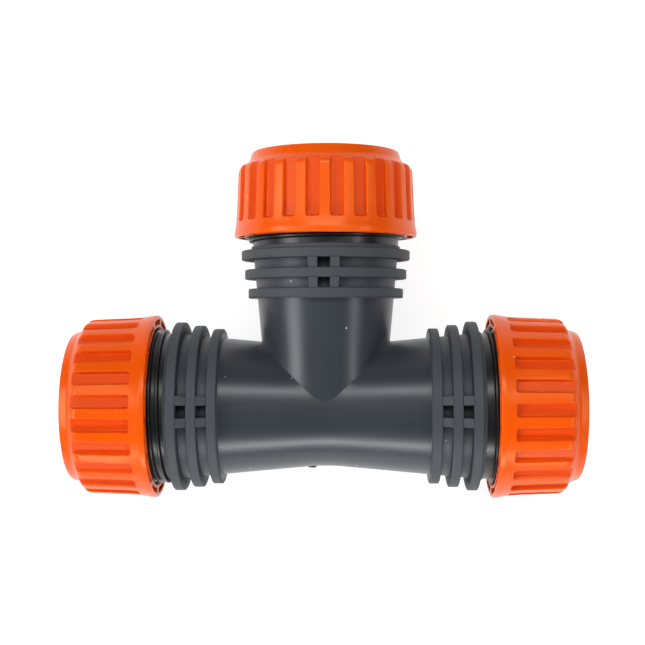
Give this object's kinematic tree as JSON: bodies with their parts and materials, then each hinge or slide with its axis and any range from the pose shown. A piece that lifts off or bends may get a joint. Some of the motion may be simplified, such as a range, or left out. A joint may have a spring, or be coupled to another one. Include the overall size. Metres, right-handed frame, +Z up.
{
  "type": "pipe tee fitting",
  "caption": "Compression tee for plastic water pipe: a ribbed moulded body with a screw nut, split grip ring, packing bush and seal at each port.",
  "frame": {"origin": "where the axes of the run and of the branch meet, in the middle of the run's waterway", "axes": "+X along the run, +Y out of the branch, +Z up and square to both, with the tee lying flat on the flared rims of its nuts"},
  "size_m": [0.1448, 0.0994, 0.0526],
  "materials": {
    "body_plastic": "satin moulded polypropylene, dark grey",
    "nut_plastic": "semi-gloss moulded polypropylene, orange",
    "ring_plastic": "plain moulded acetal, off-white",
    "bush_plastic": "moulded polypropylene, black",
    "seal_rubber": "smooth nitrile rubber"
  },
  "bodies": {
    "root": {"tee_body": "body_plastic", "left_seal": "seal_rubber", "right_seal": "seal_rubber", "branch_seal": "seal_rubber"},
    "left_grip": {"left_grip_ring": "ring_plastic", "left_bush": "bush_plastic"},
    "left_nut": {"left_nut": "nut_plastic"},
    "right_grip": {"right_grip_ring": "ring_plastic", "right_bush": "bush_plastic"},
    "right_nut": {"right_nut": "nut_plastic"},
    "branch_grip": {"branch_grip_ring": "ring_plastic", "branch_bush": "bush_plastic"},
    "branch_nut": {"branch_nut": "nut_plastic"}
  },
  "joints": [
    {"name": "left_travel", "type": "slide", "parent": "root", "child": "left_grip", "axis": [-1, 0, 0], "range_m": [-0.00384, 0.00491]},
    {"name": "left_screw", "type": "hinge", "parent": "left_grip", "child": "left_nut", "pos_m": [-0.0485, 0, 0], "axis": [-1, 0, 0], "range_deg": [-641, 820]},
    {"name": "right_travel", "type": "slide", "parent": "root", "child": "right_grip", "axis": [1, 0, 0], "range_m": [-0.00279, 0.00592]},
    {"name": "right_screw", "type": "hinge", "parent": "right_grip", "child": "right_nut", "pos_m": [0.04745, 0, 0], "axis": [1, 0, 0], "range_deg": [-465, 990]},
    {"name": "branch_travel", "type": "slide", "parent": "root", "child": "branch_grip", "axis": [0, 1, 0], "range_m": [-0.00247, 0.00622]},
    {"name": "branch_screw", "type": "hinge", "parent": "branch_grip", "child": "branch_nut", "pos_m": [0, 0.0487, 0], "axis": [0, 1, 0], "range_deg": [-411, 1040]}
  ],
  "couplings": [
    {"joint": "left_travel", "follows": "left_screw", "m_per_rad": 0.00034218},
    {"joint": "right_travel", "follows": "right_screw", "m_per_rad": 0.00034218},
    {"joint": "branch_travel", "follows": "branch_screw", "m_per_rad": 0.00034218}
  ]
}
